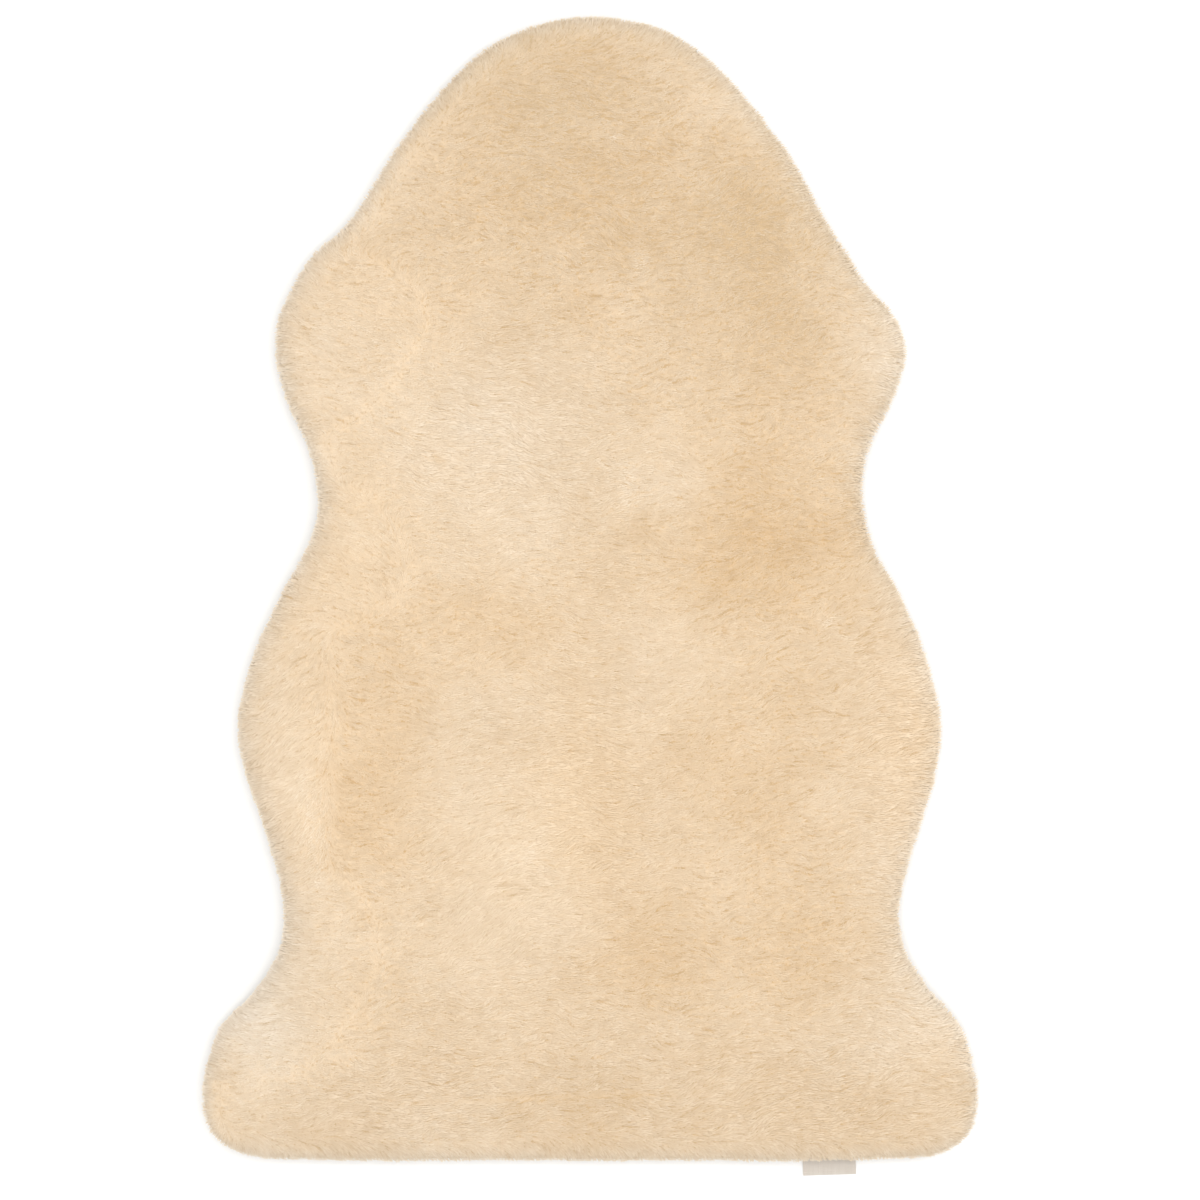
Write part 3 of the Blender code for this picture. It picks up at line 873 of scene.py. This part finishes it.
# Tanned lambskin, its flesh side buffed to a short nap: matt and pale, faintly mottled where the tanning took
# more or less, with a fine stipple and a few long veins, and a little greyer along the cut edge.
def skinMaterial():
    material, tree, add, shader = newMaterial(
        "buffed lambskin", Roughness=0.86, Specular_IOR_Level=0.25, Sheen_Weight=0.15, Sheen_Roughness=0.6,
        Sheen_Tint="#FBF3E6")
    place = add("ShaderNodeTexCoord").outputs["Object"]
    mottle = add("ShaderNodeTexNoise", {
        "Vector": place, "Scale": 1.0 / skin["mottleSize"], "Detail": 4.0, "Roughness": 0.55})
    tanned = add("ShaderNodeValToRGB", {0: mottle})
    setRamp(tanned.color_ramp, ((0.25, "#E0D0B6"), (0.50, "#E9DCC6"), (0.75, "#F0E6D4")))

    waver = add("ShaderNodeVectorMath", {
        0: mottle.outputs["Color"], "Scale": skin["veinWaver"]}, operation="SCALE")
    wavered = add("ShaderNodeVectorMath", {0: place, 1: waver}, operation="ADD")
    vein = add("ShaderNodeTexVoronoi", {
        "Vector": wavered, "Scale": 1.0 / skin["veinSize"]}, feature="DISTANCE_TO_EDGE")
    veinLine = add("ShaderNodeMapRange", {
        "Value": vein.outputs["Distance"], "From Min": 0.0, "From Max": skin["veinWidth"] / skin["veinSize"],
        "To Min": 0.15, "To Max": 0.0})
    veined = add("ShaderNodeMix", {0: veinLine, 6: tanned, 7: fromHex("#C7AF8C")}, data_type="RGBA")

    nap = add("ShaderNodeTexNoise", {
        "Vector": place, "Scale": 1.0 / skin["napSize"], "Detail": 3.0, "Roughness": 0.6})
    pores = add("ShaderNodeTexVoronoi", {"Vector": place, "Scale": 1.0 / skin["poreSize"]})
    speck = add("ShaderNodeMapRange", {
        "Value": pores.outputs["Distance"], "From Min": 0.06, "From Max": 0.22, "To Min": 0.35,
        "To Max": 0.0})
    fine = add("ShaderNodeMapRange", {
        "Value": nap, "From Min": 0.35, "From Max": 0.65, "To Min": 0.30, "To Max": 0.0})
    stipple = add("ShaderNodeMath", {0: fine, 1: speck}, operation="MAXIMUM")
    napped = add("ShaderNodeMix", {
        0: stipple, 6: veined.outputs[2], 7: fromHex("#CDB896")}, data_type="RGBA")

    edge = add("ShaderNodeAttribute", attribute_name="cutEdge").outputs["Fac"]
    edged = add("ShaderNodeMix", {0: edge, 6: napped.outputs[2], 7: fromHex("#CBBCA4")}, data_type="RGBA")
    sunkVein = add("ShaderNodeMath", {0: veinLine, 1: 1.2}, operation="MULTIPLY")
    relief = add("ShaderNodeMath", {0: nap, 1: sunkVein}, operation="SUBTRACT")
    bump = add("ShaderNodeBump", {"Height": relief, "Strength": 0.45, "Distance": 0.35 * mm})
    setInputs(tree, shader, {"Base Color": edged.outputs[2], "Normal": bump})
    return material


def makeSkin():
    body, rimEdges = cutPelt(skin["top"], below=False)
    bmesh.ops.triangle_fill(body, use_beauty=True, edges=rimEdges, normal=(0.0, 0.0, 1.0))
    bmesh.ops.recalc_face_normals(body, faces=body.faces[:])
    mesh = asMesh(body, "skin")
    places = readVertices(mesh, "co")
    low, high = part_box("pelt")
    writeMap(mesh, (places[:, :2] - np.array(low.xy)) / np.array((high - low).xy))
    writeAttribute(mesh, "cutEdge", (places[:, 2] > skin["edgeFoot"]).astype(np.float32))
    skinPiece = newPiece("skin", mesh, skinMaterial(), smooth=False)
    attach(skinPiece, "root")
    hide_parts("pelt")


# the tab

tape = {
    "width": 44.0 * mm,
    "thickness": 0.4 * mm,
    "gap": 0.3 * mm,  # between the two layers
    "turn": math.radians(1.8),
    "thread": 0.95 * mm,  # from thread to thread; a real tape has 0.5 mm, drawn coarser so that it shows
    "stepsPerThread": 3,
    "relief": 0.1 * mm,  # from the top of a thread to the hollow between threads
    "slubs": ((40.0, 3.0, 1.0), (3.0, 54.0, 1.0)),  # how often the warp's and the weft's tone changes
    "thinner": 0.02 * mm,  # taken off the cloth, so that it stays inside its solid
    "foldReach": 6.0 * mm,  # the fold wavers over this much of the tape
    "waverWave": (17.0, 33.5),  # size in millimetres, layer
    "foldWaver": 0.22 * mm,  # how unevenly the fold was pressed
    "stitch": 2.5 * mm,
    "stitchGap": 0.8 * mm,
    "stitchWidth": 0.55 * mm,
    "stitchHeight": 0.26 * mm,
    "ply": 0.09 * mm,  # of the thread
    "plySlant": math.radians(38.0),
    "seamFromEnd": 3.4 * mm,
    "seamInset": 2.0 * mm,  # from the tape's two sides
    "seamPull": 0.16 * mm,  # how far the thread draws the tape in
    "seamReach": 1.0 * mm,
}
foldRadius = (tape["thickness"] + tape["gap"]) / 2  # of the middle of the tape


def tabFrame():
    # the tab's own frame, from its solid: the middle of its fold, and its two directions
    low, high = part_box("tab")
    turn = tape["turn"]
    length = ((high.y - low.y) - tape["width"] * math.sin(turn)) / math.cos(turn)
    across = Vector((math.cos(turn), math.sin(turn), 0.0))
    inwards = Vector((-math.sin(turn), math.cos(turn), 0.0))
    middle = Vector(((low.x + high.x) / 2, (low.y + high.y) / 2, 0.0)) - inwards * length / 2
    return middle, across, inwards, length


def alongTape(distance, length):
    # the middle of the tape's thickness at this distance along it, and its outward normal, from the side
    reach = foldRadius + tape["thickness"] / 2
    straight = length - reach
    arc = math.pi * foldRadius
    if distance < straight:
        return (length - distance, reach + foldRadius), (0.0, 1.0)
    if distance < straight + arc:
        turn = math.pi / 2 + (distance - straight) / foldRadius
        inward, up = math.cos(turn), math.sin(turn)
        return (reach + foldRadius * inward, reach + foldRadius * up), (inward, up)
    return (reach + distance - straight - arc, reach - foldRadius), (0.0, -1.0)


def tapeLength(length):
    return 2 * (length - foldRadius - tape["thickness"] / 2) + math.pi * foldRadius


def weaveTree(material, values):
    # raises the threads of a plain weave: each warp thread goes over one weft thread and under the next
    tree, add, given = newTree("plain weave", values)
    crests, steep, gentle = [], [], []
    for name in ("acrossTape", "alongTape"):
        place = add("GeometryNodeInputNamedAttribute", {"Name": name}, data_type="FLOAT")
        threads = add("ShaderNodeMath", {0: place, 1: given["Thread"]}, operation="DIVIDE")
        turns = add("ShaderNodeMath", {0: threads, 1: math.pi}, operation="MULTIPLY")
        crests.append(add("ShaderNodeMath", {0: turns}, operation="SINE"))
        rounded = add("ShaderNodeMath", {0: crests[-1]}, operation="ABSOLUTE")
        steep.append(add("ShaderNodeMath", {0: rounded, 1: 0.8}, operation="POWER"))
        gentle.append(add("ShaderNodeMath", {0: rounded, 1: 0.3}, operation="POWER"))
    sameSign = add("ShaderNodeMath", {0: crests[0], 1: crests[1]}, operation="MULTIPLY")
    warpOver = add("ShaderNodeMath", {0: sameSign, 1: 0.0}, operation="GREATER_THAN")
    weftOver = add("ShaderNodeMath", {0: 1.0, 1: warpOver}, operation="SUBTRACT")
    warp = add("ShaderNodeMath", {0: steep[0], 1: gentle[1]}, operation="MULTIPLY")
    weft = add("ShaderNodeMath", {0: gentle[0], 1: steep[1]}, operation="MULTIPLY")
    warp = add("ShaderNodeMath", {0: warp, 1: warpOver}, operation="MULTIPLY")
    weft = add("ShaderNodeMath", {0: weft, 1: weftOver}, operation="MULTIPLY")
    height = add("ShaderNodeMath", {0: warp, 1: weft}, operation="ADD")
    below = add("ShaderNodeMath", {0: height, 1: 1.0}, operation="SUBTRACT")
    sunk = add("ShaderNodeMath", {0: below, 1: given["Relief"]}, operation="MULTIPLY")
    written = given["Geometry"]
    for name, value in (("threadHeight", height), ("warpOver", warpOver)):
        written = add("GeometryNodeStoreNamedAttribute", {
            "Geometry": written, "Name": name, "Value": value}, data_type="FLOAT", domain="POINT")
    outward = add("GeometryNodeInputNormal")
    offset = add("ShaderNodeVectorMath", {0: outward, "Scale": sunk}, operation="SCALE")
    moved = add("GeometryNodeSetPosition", {"Geometry": written, "Offset": offset})
    return finishTree(tree, moved, material)


# Cotton tape in plain weave: matt, off-white, its threads slightly slubbed, so that the weave reads as a fine
# speckle of light tops and greyer hollows; the grey of the hollows is painted shade.
def tapeMaterial():
    material, tree, add, shader = newMaterial("woven cotton tape", Roughness=0.85, Specular_IOR_Level=0.25)
    height = add("ShaderNodeAttribute", attribute_name="threadHeight").outputs["Fac"]
    over = add("ShaderNodeAttribute", attribute_name="warpOver").outputs["Fac"]
    # painted shade: the lower a spot of the weave lies, the greyer it is painted
    woven = add("ShaderNodeValToRGB", {0: height})
    setRamp(woven.color_ramp, ((0.25, "#B5ABA0"), (0.65, "#D6CEC4"), (1.0, "#ECE6DE")))
    place = add("ShaderNodeUVMap", uv_map="OFBake")
    threads = []
    for stretch in tape["slubs"]:
        stretched = add("ShaderNodeMapping", {"Vector": place, "Scale": stretch})
        threads.append(add("ShaderNodeTexNoise", {"Vector": stretched, "Scale": 1.0, "Detail": 2.0}))
    own = add("ShaderNodeMix", {0: over, 2: threads[1], 3: threads[0]})
    slub = add("ShaderNodeMapRange", {
        "Value": own, "From Min": 0.35, "From Max": 0.65, "To Min": 0.55, "To Max": 0.0})
    slubbed = add("ShaderNodeMix", {0: slub, 6: woven, 7: fromHex("#C3B9AD")}, data_type="RGBA")
    setInputs(tree, shader, {"Base Color": slubbed.outputs[2]})
    return material


def tapeCloth():
    # the tape's outer face as a fine grid, laid along its fold, with its place across and along the tape kept
    middle, across, inwards, length = tabFrame()
    whole = tapeLength(length)
    step = tape["thread"] / tape["stepsPerThread"]
    columns = round(tape["width"] / step)
    lines = round(whole / step)
    points, sideways, lengthways, mapped = [], [], [], []
    for line in range(lines + 1):
        distance = whole * line / lines
        (inward, height), (outIn, outUp) = alongTape(distance, length)
        nearFold = max(0.0, 1.0 - inward / tape["foldReach"])
        fromSeam = (inward - length + tape["seamFromEnd"]) / tape["seamReach"]
        pull = tape["seamPull"] * math.exp(-fromSeam ** 2)
        for column in range(columns + 1):
            side = tape["width"] * (column / columns - 0.5)
            out = tape["thickness"] / 2 - pull
            waver = tape["foldWaver"] * nearFold * (wave((side, 0.0), *tape["waverWave"]) + 1.0) / 2
            y = inward + outIn * out + waver
            points.append(middle + across * side + inwards * y + Vector((0.0, 0.0, height + outUp * out)))
            sideways.append(side + tape["width"] / 2 + step / 2)
            lengthways.append(distance + step / 2)
            mapped.append((column / columns, line / lines))
    faces = []
    for line in range(lines):
        for column in range(columns):
            first = line * (columns + 1) + column
            faces.append((first, first + columns + 1, first + columns + 2, first + 1))
    mesh = bpy.data.meshes.new("tapeTab")
    mesh.from_pydata(points, [], faces)
    writeAttribute(mesh, "acrossTape", np.array(sideways))
    writeAttribute(mesh, "alongTape", np.array(lengthways))
    writeMap(mesh, np.array(mapped))
    return mesh


def stitchTree(material, values):
    # lays one rounded stitch after another along a seam line
    tree, add, given = newTree("running stitch", values)
    seam = add("GeometryNodeMeshToCurve", {"Mesh": given["Geometry"]})
    step = add("ShaderNodeMath", {0: given["Stitch"], 1: given["Gap"]}, operation="ADD")
    spots = add("GeometryNodeResampleCurve", {"Curve": seam, "Length": step}, mode="LENGTH")
    along = add("GeometryNodeInputTangent")
    turned = add("FunctionNodeAlignRotationToVector", {"Vector": along}, axis="X")
    size = add("ShaderNodeCombineXYZ", {0: given["Stitch"], 1: given["Width"], 2: given["Height"]})
    bead = add("GeometryNodeMeshUVSphere", {"Segments": 10, "Rings": 8, "Radius": 0.5})
    smooth = add("GeometryNodeSetShadeSmooth", {"Geometry": bead})
    sewn = add("GeometryNodeInstanceOnPoints", {
        "Points": spots, "Instance": smooth, "Rotation": turned, "Scale": size})
    return finishTree(tree, sewn, material)


# Spun polyester sewing thread: two plies twisted together, slightly glossy, so that each stitch shows fine
# slanted lines.
def threadMaterial():
    material, tree, add, shader = newMaterial("twisted sewing thread", Roughness=0.55, Specular_IOR_Level=0.4)
    place = add("ShaderNodeTexCoord").outputs["Object"]
    slanted = add("ShaderNodeMapping", {"Vector": place, "Rotation": (0.0, 0.0, tape["plySlant"])})
    plies = add("ShaderNodeTexWave", {
        "Vector": slanted, "Scale": 1.0 / (2.0 * math.pi * tape["ply"]), "Distortion": 0.6, "Detail": 1.0},
        bands_direction="X")
    tone = add("ShaderNodeValToRGB", {0: plies.outputs["Fac"]})
    setRamp(tone.color_ramp, ((0.15, "#C9BBA4"), (0.6, "#EDE3D2"), (1.0, "#F7F0E3")))
    setInputs(tree, shader, {"Base Color": tone})
    return material


def makeStitches():
    # one row through both layers of the tab and the skin, seen from underneath
    middle, across, inwards, length = tabFrame()
    reach = tape["width"] / 2 - tape["seamInset"]
    raised = Vector((0.0, 0.0, tape["stitchHeight"] / 2 + 0.01 * mm))
    row = middle + inwards * (length - tape["seamFromEnd"]) + raised
    mesh = bpy.data.meshes.new("seam line")
    mesh.from_pydata([row - across * reach, row + across * reach], [(0, 1)], [])
    stitches = newPiece("tabStitches", mesh, None, smooth=False)
    values = {"Stitch": tape["stitch"], "Gap": tape["stitchGap"], "Width": tape["stitchWidth"],
              "Height": tape["stitchHeight"]}
    thread = threadMaterial()
    sewn = useTree(stitches, stitchTree(thread, values), values)
    sewn.name = "tabStitches"
    sewn.materials.clear()
    sewn.materials.append(thread)
    sewn.polygons.foreach_set("material_index", np.zeros(len(sewn.polygons), np.int32))
    stitches.data = sewn
    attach(stitches, "root")
    print("stitches have", len(stitches.data.polygons), "faces")
    return stitches


def makeTab():
    material = tapeMaterial()
    cloth = newPiece("tapeTab", tapeCloth(), material)
    values = {"Thread": tape["thread"], "Relief": tape["relief"]}
    mesh = useTree(cloth, weaveTree(material, values), values)
    cloth.data = mesh
    thicken = cloth.modifiers.new("thickness", "SOLIDIFY")
    thicken.thickness = tape["thickness"] - tape["thinner"]
    thicken.offset = -1.0
    mesh = evaluatedMesh(cloth)
    cloth.modifiers.remove(thicken)
    cloth.data = mesh
    mesh.name = "tapeTab"
    for name in ("acrossTape", "alongTape"):
        mesh.attributes.remove(mesh.attributes[name])
    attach(cloth, "root")
    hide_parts("tab")
    stitches = makeStitches()


makeCamera()
makeStage()
makeLight()
print("stage ready")
core, woolPieces = makeFleece()
print("fleece ready")
makeSkin()
makeTab()
print("skin and tab ready")
